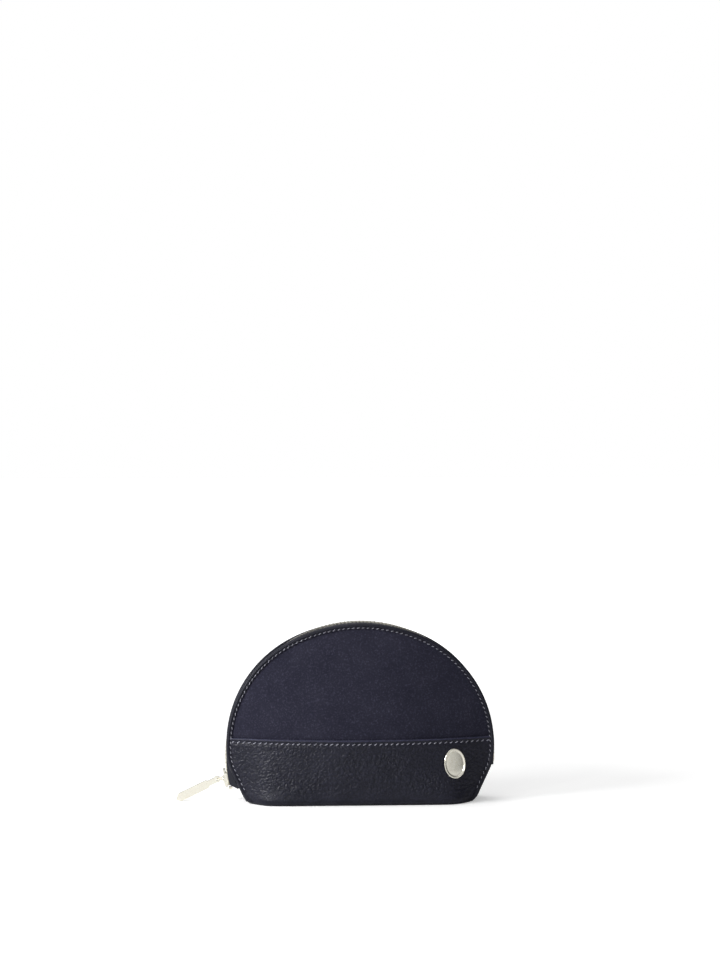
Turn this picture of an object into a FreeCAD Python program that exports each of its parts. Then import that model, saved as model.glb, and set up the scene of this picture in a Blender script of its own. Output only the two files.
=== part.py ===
"""Half-moon zippered pouch: leather band, suede panels and a zip over the top.

Millimetres. X is the pouch's length, Y its depth (the front is at -Y) and Z is up.
The origin is the middle of the base's flat face. The zip runs round an arc in the
plane Y = 0, and angles on that arc are in degrees from +X towards +Z.
"""
import FreeCAD, Part
import math
import os
from FreeCAD import Vector

# ---- driving dimensions ----
ARCH_R = 85.5            # mean radius of the arch, at the binding's outer edge
ARCH_Z = 28.6            # height of the zip's centre
SHOULDER_LESS = 9.5      # how much tighter the outline's arc at each side is
SHOULDER_X = 9.6         # its centre, from the middle
SHOULDER_RISE = 7.0      # its centre, above the zip's
CREST_SINK = 0.2         # outline's highest point, below the arch's
SHOULDER_FULL = 2.4      # how far the shoulders stand out of the arch's circle
KNEE_R = 30.0            # outline's rounding below the shoulder
KNEE_START = -3.0       # where the knee leaves the shoulder
KNEE_END = -26.0         # where it runs into the straight side
CROWN = 18.5             # how far the panel bulges beyond that
CROWN_TAPER = 0.25       # share of the crown lost at the top
BASE_DEPTH = 25.0        # half-depth of the boxy foot
BASE_IN = 17.0           # end of the boxy foot, in from the arch's side
BASE_POWER = 16          # squareness of the foot's corners
BASE_FADE = 52.0         # height by which the boxy foot has faded out
OVERRUN = 4.0            # how far a sheet is made past the outline before it is trimmed

SUEDE = 1.2
LEATHER = 1.2
BOARD = 0.8
CLOTH = 0.4
PLY_GAP = 0.1            # between neighbouring layers
SEAM_Z = 41.5            # folded top edge of the leather band
TUCK = 5.0               # suede tucked in behind the band
BOARD_INSET = 6.0        # stiffener's edge, in from the outline
BOARD_START = 2.0        # and above the seam
LINING_BACK = 0.6        # lining behind the stiffener
LEG_CLEAR = 0.3          # lining to the tape's sewn leg
FOOT_IN = 3.2            # how far the band turns under
FOOT_Z = 4.5             # height of that turn
BASE_LEATHER = 1.6
BASE_BOARD = 1.8
BASE_BOARD_IN = 0.4      # base board's edge, inside the band
BASE_LINING_IN = 0.6     # base lining's edge, inside the lining
TAB_THICK = 1.2
TAB_PROUD = 0.2          # end tab past the panels' edge
TAB_CLEAR = 1.0          # end tab to the tape's end
FLOOR_CLEAR = 0.3        # binding and tabs above the floor

BINDING_PROUD = 0.8      # binding above the leather band
BINDING_WRAP = 1.1       # binding round the panel's edge
BINDING_WIDTH = 3.2      # binding seen from the front

CHAIN_SINK = 0.3         # middle of the zip's tape, inside the arch
TAPE = 0.6
TAPE_LEG = 3.9           # depth of the sewn leg
TOOTH_PITCH = 2.4
TOOTH_HALF = 2.6         # from the mid-plane to the tape's edge
TOOTH_CROSS = 0.8        # how far a tooth reaches past the mid-plane
TOOTH_TAPER = 0.4        # length over which it narrows to its head
TOOTH_WIDE = 1.2
TOOTH_HEAD = 1.0
TOOTH_HIGH = 2.2
CHAIN_END = -1.0         # last tooth on the right
TAPE_END_RIGHT = -4.0
STOP_LONG = 1.4
STOP_GAP = 0.3           # slider to the top stops
TAPE_SPARE = 0.3         # tape past the top stops

SLIDER_Z = 15.0          # height at which the slider is parked
SLIDER_LONG = 11.6
SLIDER_PLATE = 1.2
SLIDER_GAP = 0.3         # slider to teeth and tape
SLIDER_FLANGE = 1.0
TOOTH_ROOM = 0.8         # teeth to the slider's flanges
SIDE_ROOM = 0.4          # slider to the tape's sewn legs
PLATE_ROOM = 0.2         # more room inside the chain, where the slider's plate is flat
SLIDER_FRONT = 1.2       # chamfers of the slider's closed end and of its mouth
SLIDER_MOUTH = 1.4
WEDGE_HALF = 1.4
WEDGE_LONG = 3.4
NOSE_OUT = 0.2           # raised nose, out from the mouth's chamfer
NOSE_LONG = 2.7
NOSE_HIGH = 0.6
WIRE_R = 0.5
WIRE_GAP = 0.2
BRIDGE_HALF = 1.1
BRIDGE_THICK = 0.9
LINK_LONG = 4.1
LINK_HALF = 2.4
EYE_HOLE = 0.9
EYE_R = 2.1
PULL_THICK = 1.8
PULL_LONG = 29.2         # eye to tip
PULL_SHOULDER = 26.4
PULL_HALF = 2.6
NECK_LONG = 6.0
NECK_HALF = 1.7

BADGE_IN = 27.0          # badge's middle, in from the arch's side
BADGE_DROP = 16.0        # and below the seam
BADGE_WIDE = 14.6
BADGE_HIGH = 19.0
BADGE_THICK = 1.4
BADGE_RIM = 1.1
BADGE_SEAT = 0.4         # flat plate to the band at its middle
BADGE_DISH = 0.4         # depth of the face inside the rim
PRONG_WIDE = 2.0
PRONG_THICK = 0.5
PRONG_APART = 10.0
PRONG_CLEAR = 0.05       # round a prong, in its slot
WASHER = 0.6
WASHER_BACK = 0.35       # washer behind the band
WASHER_IN = 2.0          # washer's edge, inside the badge's

FAR = 60.0               # beyond the pouch's depth
GRID_X = 5.0
GRID_Z = 4.0
AXIS = Vector(0, 1, 0)
CENTRE = Vector(0, 0, ARCH_Z)

# ---- worked out from them ----
ARCH_TOP = ARCH_Z + ARCH_R
SHOULDER_R = ARCH_R - SHOULDER_LESS
SHOULDER_Z = ARCH_Z + SHOULDER_RISE
CREST_Z = ARCH_TOP - CREST_SINK
CREST_RISE = CREST_Z - SHOULDER_Z
CREST_R = (CREST_RISE ** 2 + SHOULDER_X ** 2 - SHOULDER_R ** 2) / (2 * (CREST_RISE - SHOULDER_R))
CREST_ANGLE = math.degrees(math.atan2(SHOULDER_Z - CREST_Z + CREST_R, SHOULDER_X))
SLIDER_HALF = TOOTH_HALF + TOOTH_ROOM + SLIDER_FLANGE
TAPE_HALF = SLIDER_HALF + SIDE_ROOM + TAPE      # outer face of the tape's sewn leg
EDGE_DEPTH = TAPE_HALF + 2 * PLY_GAP + SUEDE    # suede's face from the mid-plane, at the arch
BASE_HALF = ARCH_R - BASE_IN
CHAIN_R = ARCH_R - CHAIN_SINK
BADGE_X = ARCH_R - BADGE_IN
BADGE_Z = SEAM_Z - BADGE_DROP
BAND_FACE = PLY_GAP + LEATHER
BINDING_FACE = BAND_FACE + BINDING_PROUD
BINDING_IN = TAPE_HALF + PLY_GAP
BOARD_IN = SUEDE + PLY_GAP + BOARD
LINING_OUT = BOARD_IN + LINING_BACK
TAPE_OUT = CHAIN_R + TAPE / 2
TAPE_IN = CHAIN_R - TAPE / 2
LEG_IN = TAPE_OUT - TAPE_LEG
TOOTH_IN = CHAIN_R - TOOTH_HIGH / 2
TOOTH_OUT = CHAIN_R + TOOTH_HIGH / 2
PITCH_DEG = math.degrees(TOOTH_PITCH / CHAIN_R)
SLIDER_ANGLE = 180 + math.degrees(math.asin((ARCH_Z - SLIDER_Z) / CHAIN_R))
TOP_STOP_START = SLIDER_ANGLE + math.degrees((SLIDER_LONG / 2 + STOP_GAP) / CHAIN_R)
TOP_STOP_END = TOP_STOP_START + math.degrees(STOP_LONG / CHAIN_R)
TAPE_END_LEFT = TOP_STOP_END + math.degrees(TAPE_SPARE / CHAIN_R)
INNER_PLATE_TOP = TOOTH_IN - SLIDER_GAP - PLATE_ROOM
OUTER_PLATE_LOW = TOOTH_OUT + SLIDER_GAP
OUTER_PLATE_TOP = OUTER_PLATE_LOW + SLIDER_PLATE
PIVOT_R = OUTER_PLATE_TOP + WIRE_R + WIRE_GAP
BASE_TOP = BASE_LEATHER + PLY_GAP + BASE_BOARD


def depth(x, z):
    """Distance of the suede's outer face from the mid-plane."""
    rise = z - ARCH_Z
    r2 = x * x + rise * rise
    diagonal = 2 * abs(x) * max(rise, 0) / max(r2, 1)
    rho2 = r2 / (ARCH_R + SHOULDER_FULL * diagonal ** 2) ** 2
    crown = CROWN * (1 - CROWN_TAPER * z / ARCH_TOP)
    moon = EDGE_DEPTH + crown * (1 - rho2)
    box = EDGE_DEPTH + (BASE_DEPTH - EDGE_DEPTH) / (1 + (x / BASE_HALF) ** BASE_POWER)
    foot = max(0.0, 1 - max(z, 0) / BASE_FADE) ** 2
    return foot * box + (1 - foot) * moon


def turn_under(z):
    """How far the band has turned under at height z."""
    return FOOT_IN * (1 - z / FOOT_Z) ** 2 if z < FOOT_Z else 0.0


def frange(low, high, step):
    """Evenly spaced values from low to high, about step apart."""
    count = max(2, round((high - low) / step))
    return [low + (high - low) * i / count for i in range(count + 1)]


def sheet(offset, thick, foot=False):
    """Front layer whose outer face stands off the suede's face by offset."""
    reach = ARCH_R + OVERRUN
    rows = []
    for x in frange(-reach, reach, GRID_X):
        row = []
        for z in frange(-2, ARCH_TOP + 2, GRID_Z):
            under = turn_under(z) if foot else 0.0
            row.append(Vector(x, -(depth(x, z) + offset - under), z))
        rows.append(row)
    surface = Part.BSplineSurface()
    surface.interpolate(rows)
    return surface.toShape().extrude(Vector(0, thick, 0))


def on_circle(radius, angle, centre_x=0.0, centre_z=ARCH_Z):
    """Point on a circle in the mid-plane."""
    turn = math.radians(angle)
    return Vector(centre_x + radius * math.cos(turn), 0, centre_z + radius * math.sin(turn))


def outline(inset, low, high):
    """Prism through the pouch, of its front outline moved in by inset."""
    knee = on_circle(SHOULDER_R - KNEE_R, KNEE_START, SHOULDER_X, SHOULDER_Z)
    ends = []
    for side in (1, -1):
        def flip(point, side=side):
            return Vector(side * point.x, -FAR, point.z)
        top = on_circle(CREST_R - inset, CREST_ANGLE, 0, CREST_Z - CREST_R)
        half_angle = (CREST_ANGLE + KNEE_START) / 2
        shoulder = on_circle(SHOULDER_R - inset, half_angle, SHOULDER_X, SHOULDER_Z)
        hip = on_circle(SHOULDER_R - inset, KNEE_START, SHOULDER_X, SHOULDER_Z)
        middle = on_circle(KNEE_R - inset, (KNEE_START + KNEE_END) / 2, knee.x, knee.z)
        bottom = on_circle(KNEE_R - inset, KNEE_END, knee.x, knee.z)
        lean = math.tan(math.radians(-KNEE_END))
        floor = Vector(bottom.x - (bottom.z + 1) * lean, 0, -1)
        ends.append([flip(p) for p in (top, shoulder, hip, middle, bottom, floor)])
    right, left = ends
    crest = Vector(0, -FAR, CREST_Z - inset)
    edges = [Part.Arc(right[0], crest, left[0]).toShape()]
    for side in (left, right):
        edges.append(Part.Arc(side[0], side[1], side[2]).toShape())
        edges.append(Part.Arc(side[2], side[3], side[4]).toShape())
        edges.append(Part.LineSegment(side[4], side[5]).toShape())
    edges.append(Part.LineSegment(left[5], right[5]).toShape())
    wire = Part.Wire(Part.__sortEdges__(edges))
    return Part.Face(wire).extrude(Vector(0, 2 * FAR, 0)).common(slab(low, high))


def box(x0, x1, y0, y1, z0, z1):
    """Box between two corners."""
    return Part.makeBox(x1 - x0, y1 - y0, z1 - z0, Vector(x0, y0, z0))


def slab(low, high):
    """Everything between two heights."""
    return box(-2 * FAR, 2 * FAR, -2 * FAR, 2 * FAR, low, high)


def mirrored(shape):
    """The back's copy of a front piece."""
    return shape.mirror(Vector(0, 0, 0), Vector(0, 1, 0))


def sweep(profile, start, end):
    """Ring of a section, given as (radius, y) points, from one angle to another."""
    points = [Vector(r, y, ARCH_Z) for r, y in profile]
    face = Part.Face(Part.makePolygon(points + points[:1]))
    face.rotate(CENTRE, AXIS, -start)
    return face.revolve(CENTRE, AXIS, start - end)


def at_angle(shape, angle):
    """Move a piece built at the arch's top round to an angle."""
    moved = shape.copy()
    moved.rotate(CENTRE, AXIS, 90 - angle)
    return moved


def prism(points, low, high):
    """Polygon of (x, y) points, raised between two radii at the arch's top."""
    corners = [Vector(x, y, ARCH_Z + low) for x, y in points]
    return Part.Face(Part.makePolygon(corners + corners[:1])).extrude(Vector(0, 0, high - low))


def base_plate(inset, low, high):
    """Plate that fills the foot, inset from the panel's face."""
    half = outline(0, low, low + 0.5).BoundBox.XMax - inset
    front = [Vector(x, -(depth(x, low) - inset), low) for x in frange(-half, half, GRID_X)]
    back = [Vector(p.x, -p.y, p.z) for p in front]
    edges = []
    for points in (front, back):
        curve = Part.BSplineCurve()
        curve.interpolate(points)
        edges.append(curve.toShape())
    edges.insert(1, Part.LineSegment(front[-1], back[-1]).toShape())
    edges.append(Part.LineSegment(front[0], back[0]).toShape())
    return Part.Face(Part.Wire(Part.__sortEdges__(edges))).extrude(Vector(0, 0, high - low))


def leather_band():
    """Front of the pebbled leather band."""
    return sheet(BAND_FACE, LEATHER, foot=True).common(outline(BINDING_WRAP + PLY_GAP, 0, SEAM_Z))


def suede_panel():
    """Front of the suede, tucked in behind the band."""
    area = outline(BINDING_WRAP + PLY_GAP, SEAM_Z - TUCK, ARCH_TOP)
    return sheet(0, SUEDE).common(area)


def stiffener():
    """Front board, which stops short of the band and of the zip's stitching."""
    area = outline(BOARD_INSET, SEAM_Z + BOARD_START, ARCH_TOP)
    return sheet(-SUEDE - PLY_GAP, BOARD).common(area)


def lining():
    """Front lining, sewn in at the tape's leg."""
    area = outline(ARCH_R - LEG_IN + LEG_CLEAR, BASE_TOP + CLOTH + 2 * PLY_GAP, ARCH_TOP)
    inside_leg = Part.makeCylinder(LEG_IN - LEG_CLEAR, 2 * FAR, Vector(0, -FAR, ARCH_Z), AXIS)
    return sheet(-LINING_OUT, CLOTH).common(area).common(inside_leg)


def edge_binding():
    """Front's rolled leather edge, over band and suede alike."""
    ring = outline(0, FLOOR_CLEAR, ARCH_TOP).cut(outline(BINDING_WIDTH, -1, ARCH_TOP))
    front = box(-2 * FAR, 2 * FAR, -FAR, -BINDING_IN, -1, ARCH_TOP)
    strip = sheet(BINDING_FACE, FAR, foot=True).common(ring).common(front)
    seam = SEAM_Z + PLY_GAP
    over_band = sheet(BAND_FACE + PLY_GAP, FAR, foot=True).common(outline(BINDING_WRAP, -1, seam))
    over_suede = sheet(PLY_GAP, FAR).common(outline(BINDING_WRAP, seam, ARCH_TOP))
    return strip.cut(over_band).cut(over_suede)


def zip_tape():
    """Front tape: a flange under the teeth and a leg sewn into the panel."""
    profile = [(TAPE_IN, -TOOTH_HALF), (TAPE_OUT, -TOOTH_HALF), (TAPE_OUT, -TAPE_HALF),
               (LEG_IN, -TAPE_HALF), (LEG_IN, TAPE - TAPE_HALF), (TAPE_IN, TAPE - TAPE_HALF)]
    return sweep(profile, TAPE_END_LEFT, TAPE_END_RIGHT)


def tooth():
    """One front tooth at the arch's top, reaching past the mid-plane."""
    wide, head = TOOTH_WIDE / 2, TOOTH_HEAD / 2
    neck = -TOOTH_CROSS / 2
    points = [(-wide, -TOOTH_HALF), (wide, -TOOTH_HALF), (wide, neck - TOOTH_TAPER), (head, neck),
              (head, TOOTH_CROSS), (-head, TOOTH_CROSS), (-head, neck), (-wide, neck - TOOTH_TAPER)]
    return prism(points, TOOTH_IN, TOOTH_OUT)


def tooth_angles(shift):
    """Angles of one row's teeth, from the right end to the slider's middle."""
    count = int((SLIDER_ANGLE - CHAIN_END) / PITCH_DEG - 0.5 - shift)
    return [CHAIN_END + (i + shift) * PITCH_DEG for i in range(count + 1)]


def zip_stops():
    """The two top stops past the slider, and the one bottom stop."""
    turn = math.degrees(STOP_LONG / CHAIN_R)
    gap = SLIDER_GAP / 2
    side = [(TOOTH_IN, -TOOTH_HALF), (TOOTH_OUT, -TOOTH_HALF), (TOOTH_OUT, -gap), (TOOTH_IN, -gap)]
    top = sweep(side, TOP_STOP_END, TOP_STOP_START)
    whole = [(TOOTH_IN, -TOOTH_HALF), (TOOTH_OUT, -TOOTH_HALF),
             (TOOTH_OUT, TOOTH_HALF), (TOOTH_IN, TOOTH_HALF)]
    bottom_start = CHAIN_END - math.degrees(TOOTH_WIDE / CHAIN_R)
    return Part.makeCompound([top, mirrored(top)]), sweep(whole, bottom_start, bottom_start - turn)


def end_tab(side, high):
    """Leather strip that closes the side below the zip."""
    strip = outline(-TAB_PROUD, FLOOR_CLEAR, high).cut(outline(TAB_THICK, -1, high + 1))
    near = box(-2 * FAR, 2 * FAR, PLY_GAP - TAPE_HALF, TAPE_HALF - PLY_GAP, -1, high)
    x0, x1 = sorted((0, side * 2 * FAR))
    return strip.common(near).common(box(x0, x1, -FAR, FAR, -1, high))


def slider_body():
    """Slider at the arch's top, its mouth towards -X."""
    long, half = SLIDER_LONG / 2, SLIDER_HALF
    mouth, front = -long + SLIDER_MOUTH, long - 2 * SLIDER_FRONT
    plan = [(-long, -half + SLIDER_MOUTH), (mouth, -half), (front, -half), (long, -half + SLIDER_FRONT),
            (long, half - SLIDER_FRONT), (front, half), (mouth, half), (-long, half - SLIDER_MOUTH)]
    inner = prism(plan, INNER_PLATE_TOP - SLIDER_PLATE, INNER_PLATE_TOP)
    outer = prism(plan, OUTER_PLATE_LOW, OUTER_PLATE_TOP)
    wedge_start, wedge_end = mouth - 0.8, mouth - 0.8 + WEDGE_LONG
    wedge_wide = (wedge_start + wedge_end) / 2
    wedge_plan = [(wedge_start, 0), (wedge_wide, -WEDGE_HALF), (wedge_end, 0), (wedge_wide, WEDGE_HALF)]
    body = inner.fuse(outer).fuse(prism(wedge_plan, INNER_PLATE_TOP, OUTER_PLATE_LOW))
    for side in (1, -1):
        y0, y1 = sorted((side * (half - SLIDER_FLANGE), side * half))
        flange = [(-front, y0), (front, y0), (front, y1), (-front, y1)]
        low = prism(flange, INNER_PLATE_TOP, TAPE_IN - SLIDER_GAP - PLATE_ROOM)
        high = prism(flange, TAPE_OUT + SLIDER_GAP, OUTER_PLATE_LOW)
        body = body.fuse(low).fuse(high)
    wide, base = LINK_HALF + WIRE_R, ARCH_Z + OUTER_PLATE_TOP
    nose = box(mouth - NOSE_OUT, mouth - NOSE_OUT + NOSE_LONG, -wide, wide, base, base + NOSE_HIGH)
    return body.fuse(nose).removeSplitter()


def slider_bridge():
    """Loop on the slider's outer plate, which holds the link's wire."""
    hole = WIRE_R + WIRE_GAP
    outer = hole + BRIDGE_THICK
    base = ARCH_Z + OUTER_PLATE_TOP
    axis = ARCH_Z + PIVOT_R
    start = Vector(0, -BRIDGE_HALF, axis)
    loop = Part.makeCylinder(outer, 2 * BRIDGE_HALF, start, AXIS)
    feet = box(-outer, outer, -BRIDGE_HALF, BRIDGE_HALF, base, axis)
    room = Part.makeCylinder(hole, 2 * BRIDGE_HALF, start, AXIS)
    gap = box(-hole, hole, -BRIDGE_HALF, BRIDGE_HALF, base, axis)
    above = box(-outer, outer, -BRIDGE_HALF, BRIDGE_HALF, base, axis + outer)
    return loop.fuse(feet).common(above).cut(room).cut(gap).removeSplitter()


def pull_link():
    """Ring of wire from the bridge out to the pull bar's eye."""
    low = ARCH_Z + PIVOT_R
    high = low + LINK_LONG
    corner = LINK_HALF / 2
    corners = [Vector(0, -LINK_HALF, low), Vector(0, LINK_HALF, low),
               Vector(0, LINK_HALF, high), Vector(0, -LINK_HALF, high)]
    edges = []
    for here, point in enumerate(corners):
        before = (corners[here - 1] - point).normalize() * corner
        after = (corners[(here + 1) % 4] - point).normalize() * corner
        bulge = (before + after) * (1 - math.sqrt(0.5))
        edges.append(Part.Arc(point + before, point + bulge, point + after).toShape())
        following = corners[(here + 1) % 4]
        edges.append(Part.LineSegment(point + after, following - after).toShape())
    path = Part.Wire(Part.__sortEdges__(edges))
    section = Part.Wire(Part.makeCircle(WIRE_R, Vector(0, 0, low), AXIS))
    return path.makePipeShell([section], True, False)


def pull_drop():
    """Angle of the pull below the slider's radius at which its shoulder meets the floor."""
    eye = on_circle(PIVOT_R + LINK_LONG, SLIDER_ANGLE)
    reach = math.hypot(PULL_SHOULDER, PULL_HALF)
    below = math.asin(eye.z / reach) - math.atan2(PULL_HALF, PULL_SHOULDER)
    return math.degrees(below) - (SLIDER_ANGLE - 180)


def pull_bar():
    """Flat bar, from its eye to a blunt point, standing up from the arch's top."""
    eye_z = ARCH_Z + PIVOT_R + LINK_LONG
    y = -PULL_THICK / 2
    outline_points = [(-NECK_HALF, 0), (-NECK_HALF, NECK_LONG), (-PULL_HALF, NECK_LONG + 1.2),
                      (-PULL_HALF, PULL_SHOULDER), (0, PULL_LONG), (PULL_HALF, PULL_SHOULDER),
                      (PULL_HALF, NECK_LONG + 1.2), (NECK_HALF, NECK_LONG), (NECK_HALF, 0)]
    points = [Vector(x, y, eye_z + z) for x, z in outline_points]
    bar = Part.Face(Part.makePolygon(points + points[:1])).extrude(Vector(0, PULL_THICK, 0))
    eye = Part.makeCylinder(EYE_R, PULL_THICK, Vector(0, y, eye_z), AXIS)
    hole = Part.makeCylinder(EYE_HOLE, PULL_THICK, Vector(0, y, eye_z), AXIS)
    bar = bar.fuse(eye).cut(hole).removeSplitter()
    bar.rotate(Vector(0, 0, eye_z), AXIS, -pull_drop())
    return bar


def badge_place():
    """Placement of the badge: X along the band, Y into it and Z up it."""
    step = 0.5
    slope_x = (depth(BADGE_X + step, BADGE_Z) - depth(BADGE_X - step, BADGE_Z)) / (2 * step)
    slope_z = (depth(BADGE_X, BADGE_Z + step) - depth(BADGE_X, BADGE_Z - step)) / (2 * step)
    inward = Vector(slope_x, 1, slope_z).normalize()
    along = Vector(1, -slope_x, 0).normalize()
    turn = FreeCAD.Rotation(along, inward, along.cross(inward), "YXZ")
    face = Vector(BADGE_X, -(depth(BADGE_X, BADGE_Z) + BAND_FACE), BADGE_Z)
    return FreeCAD.Placement(face, turn)


def oval(wide, high, y0, y1):
    """Upright oval plate between two depths."""
    ellipse = Part.Ellipse(Vector(0, y0, high / 2), Vector(wide / 2, y0, 0), Vector(0, y0, 0))
    return Part.Face(Part.Wire(ellipse.toShape())).extrude(Vector(0, y1 - y0, 0))


def prong_boxes(gap, low, high):
    """Room for the badge's two prongs, with a gap round each."""
    boxes = []
    for side in (1, -1):
        z = side * PRONG_APART / 2
        boxes.append(box(-PRONG_WIDE / 2 - gap, PRONG_WIDE / 2 + gap, low, high,
                         z - PRONG_THICK / 2 - gap, z + PRONG_THICK / 2 + gap))
    return Part.makeCompound(boxes)


def badge(place):
    """Badge plate with its prongs, the washer behind, and the band's slots."""
    seat = -BADGE_SEAT
    plate = oval(BADGE_WIDE, BADGE_HIGH, seat - BADGE_THICK, seat)
    dish = oval(BADGE_WIDE - 2 * BADGE_RIM, BADGE_HIGH - 2 * BADGE_RIM,
                seat - BADGE_THICK, seat - BADGE_THICK + BADGE_DISH)
    washer_face = LEATHER + WASHER_BACK
    end = washer_face + WASHER
    plate = plate.cut(dish)
    for prong in prong_boxes(0, seat - PLY_GAP, end).Solids:
        plate = plate.fuse(prong)
    slots = prong_boxes(PRONG_CLEAR, seat, end)
    washer = oval(BADGE_WIDE - 2 * WASHER_IN, BADGE_HIGH - 2 * WASHER_IN, washer_face, end).cut(slots)
    for shape in (plate, washer, slots):
        shape.Placement = place.multiply(shape.Placement)
    return plate, washer, slots


def slider_set():
    """Slider, bridge, link and pull, moved to where the slider is parked."""
    made = {
        "slider_body": slider_body(),
        "slider_bridge": slider_bridge(),
        "pull_link": pull_link(),
        "pull_bar": pull_bar(),
    }
    return {name: at_angle(shape, SLIDER_ANGLE) for name, shape in made.items()}


def build():
    """Every node's shape, by name."""
    plate, washer, slots = badge(badge_place())
    band = leather_band()
    suede, board, cloth = suede_panel(), stiffener(), lining()
    binding, tape = edge_binding(), zip_tape()
    top_stops, bottom_stop = zip_stops()
    front_teeth = [at_angle(tooth(), angle) for angle in tooth_angles(0)]
    back_teeth = [at_angle(mirrored(tooth()), angle) for angle in tooth_angles(0.5)]
    lining_foot = BASE_TOP + PLY_GAP
    left_tab_top = on_circle(TAPE_OUT, TAPE_END_LEFT).z - TAB_CLEAR
    right_tab_top = on_circle(LEG_IN, TAPE_END_RIGHT).z - TAB_CLEAR
    nodes = {
        "base_panel": base_plate(FOOT_IN + PLY_GAP, 0, BASE_LEATHER),
        "base_board": base_plate(FOOT_IN + BASE_BOARD_IN, BASE_LEATHER + PLY_GAP, BASE_TOP),
        "base_lining": base_plate(LINING_OUT + BASE_LINING_IN, lining_foot, lining_foot + CLOTH),
        "front_leather_band": band.cut(slots),
        "back_leather_band": mirrored(band),
        "front_suede_panel": suede,
        "back_suede_panel": mirrored(suede),
        "front_stiffener": board,
        "back_stiffener": mirrored(board),
        "front_lining": cloth,
        "back_lining": mirrored(cloth),
        "front_edge_binding": binding,
        "back_edge_binding": mirrored(binding),
        "front_zip_tape": tape,
        "back_zip_tape": mirrored(tape),
        "front_zip_teeth": Part.makeCompound(front_teeth),
        "back_zip_teeth": Part.makeCompound(back_teeth),
        "zip_top_stops": top_stops,
        "zip_bottom_stop": bottom_stop,
        "left_end_tab": end_tab(-1, left_tab_top),
        "right_end_tab": end_tab(1, right_tab_top),
        "badge_plate": plate,
        "badge_washer": washer,
    }
    nodes.update(slider_set())
    return nodes


os.makedirs("parts", exist_ok=True)
for name, shape in build().items():
    solids = shape.Solids
    print(name, len(solids), round(shape.Volume, 2), shape.isValid())
    shape.exportStep(f"parts/{name}.step")
eye = on_circle(PIVOT_R + LINK_LONG, SLIDER_ANGLE)
pivot = on_circle(PIVOT_R, SLIDER_ANGLE)
print("link pivot", pivot, "eye", eye, "pull drop", round(pull_drop(), 2))
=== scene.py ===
"""Looks of the half-moon zippered pouch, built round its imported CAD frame. Lengths are in metres."""
import math
import random

import bmesh
import bpy
from mathutils import Matrix, Vector, noise


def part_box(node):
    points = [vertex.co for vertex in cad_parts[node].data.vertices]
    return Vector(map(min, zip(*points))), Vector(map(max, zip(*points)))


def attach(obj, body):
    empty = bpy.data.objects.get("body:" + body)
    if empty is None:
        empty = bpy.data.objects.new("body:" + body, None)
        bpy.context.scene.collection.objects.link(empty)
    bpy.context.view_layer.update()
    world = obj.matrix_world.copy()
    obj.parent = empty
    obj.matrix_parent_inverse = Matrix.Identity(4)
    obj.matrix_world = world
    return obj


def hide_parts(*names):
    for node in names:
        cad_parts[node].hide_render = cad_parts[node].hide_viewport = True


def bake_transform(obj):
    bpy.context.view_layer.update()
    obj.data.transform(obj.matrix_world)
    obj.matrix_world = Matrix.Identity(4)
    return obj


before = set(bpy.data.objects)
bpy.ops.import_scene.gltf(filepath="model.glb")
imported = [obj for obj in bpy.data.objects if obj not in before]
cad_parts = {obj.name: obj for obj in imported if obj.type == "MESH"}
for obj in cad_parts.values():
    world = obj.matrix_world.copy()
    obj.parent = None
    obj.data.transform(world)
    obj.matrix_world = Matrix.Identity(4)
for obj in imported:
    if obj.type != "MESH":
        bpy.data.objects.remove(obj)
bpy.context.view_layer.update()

MM = 0.001

# ---- sizes that the CAD part shares, in millimetres ----
ARCH_R = 85.5
ARCH_Z = 28.6
SHOULDER_R = ARCH_R - 9.5
SHOULDER_X = 9.6
SHOULDER_Z = ARCH_Z + 7.0
CREST_Z = ARCH_Z + ARCH_R - 0.2
SHOULDER_FULL = 2.4
KNEE_R = 30.0
KNEE_START = -3.0
KNEE_END = -26.0
EDGE_DEPTH = 6.8
CROWN = 18.5
CROWN_TAPER = 0.25
BASE_DEPTH = 25.0
BASE_HALF = ARCH_R - 17.0
BASE_POWER = 16
BASE_FADE = 52.0
FOOT_IN = 3.2
FOOT_Z = 4.5
CORNER_IN = 2.2
CORNER_Z = 5.0
BAND_FACE = 1.3
SUEDE = 1.2
LEATHER = 1.2
PANEL_INSET = 1.2
BOARD = 0.8
BOARD_FACE = -1.3
BOARD_INSET = 6.0
BOARD_START = 2.0
LINING = 0.4
LINING_FACE = -2.7
LINING_INSET = 4.2
LINING_START = 4.0
SEAM_Z = 41.5
TUCK = 5.0
BINDING_IN = 5.5
BINDING_SEAT = 0.75
ARCH_TOP = ARCH_Z + ARCH_R
CREST_RISE = CREST_Z - SHOULDER_Z
CREST_R = (CREST_RISE ** 2 + SHOULDER_X ** 2 - SHOULDER_R ** 2) / (2 * (CREST_RISE - SHOULDER_R))
CREST_ANGLE = math.degrees(math.atan2(SHOULDER_Z - CREST_Z + CREST_R, SHOULDER_X))
LEG_R = 81.3
LEG_CLEAR = 0.3
TOP_SPARE = 0.01

# ---- soft detail ----
SEAM_PITCH = 3.46
SEAM_STITCH_Z = SEAM_Z - 2.5
SEAM_SLANT = math.radians(-30)
ARC_PITCH = 3.2
ARC_INSET = 2.75
ARC_MARGIN = 8.0
ARC_LIFT = 0.32
ARC_SLANT = math.radians(-22)
THREAD_R = 0.30
STITCH_SECTIONS = ((-0.5, 0.25), (-0.42, 0.7), (-0.25, 1.0), (0.0, 1.08),
                   (0.25, 1.0), (0.42, 0.7), (0.5, 0.25))
BINDING_SECTION = ((3.2, 0.02), (3.14, 0.2), (3.0, 0.34), (2.75, 0.4), (2.5, 0.3),
                   (2.25, 0.1), (2.05, 0.28), (1.85, 0.66), (1.5, 0.92), (1.1, 1.02),
                   (0.7, 0.95), (0.38, 0.7), (0.12, 0.25), (0.0, -0.4))
PEBBLE_LONG = 0.25
PEBBLE_WIDE = 0.36
NOISE_SEED = 7
ZIP_TUCK = 4.5
TUCK_START = 11.5
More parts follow.
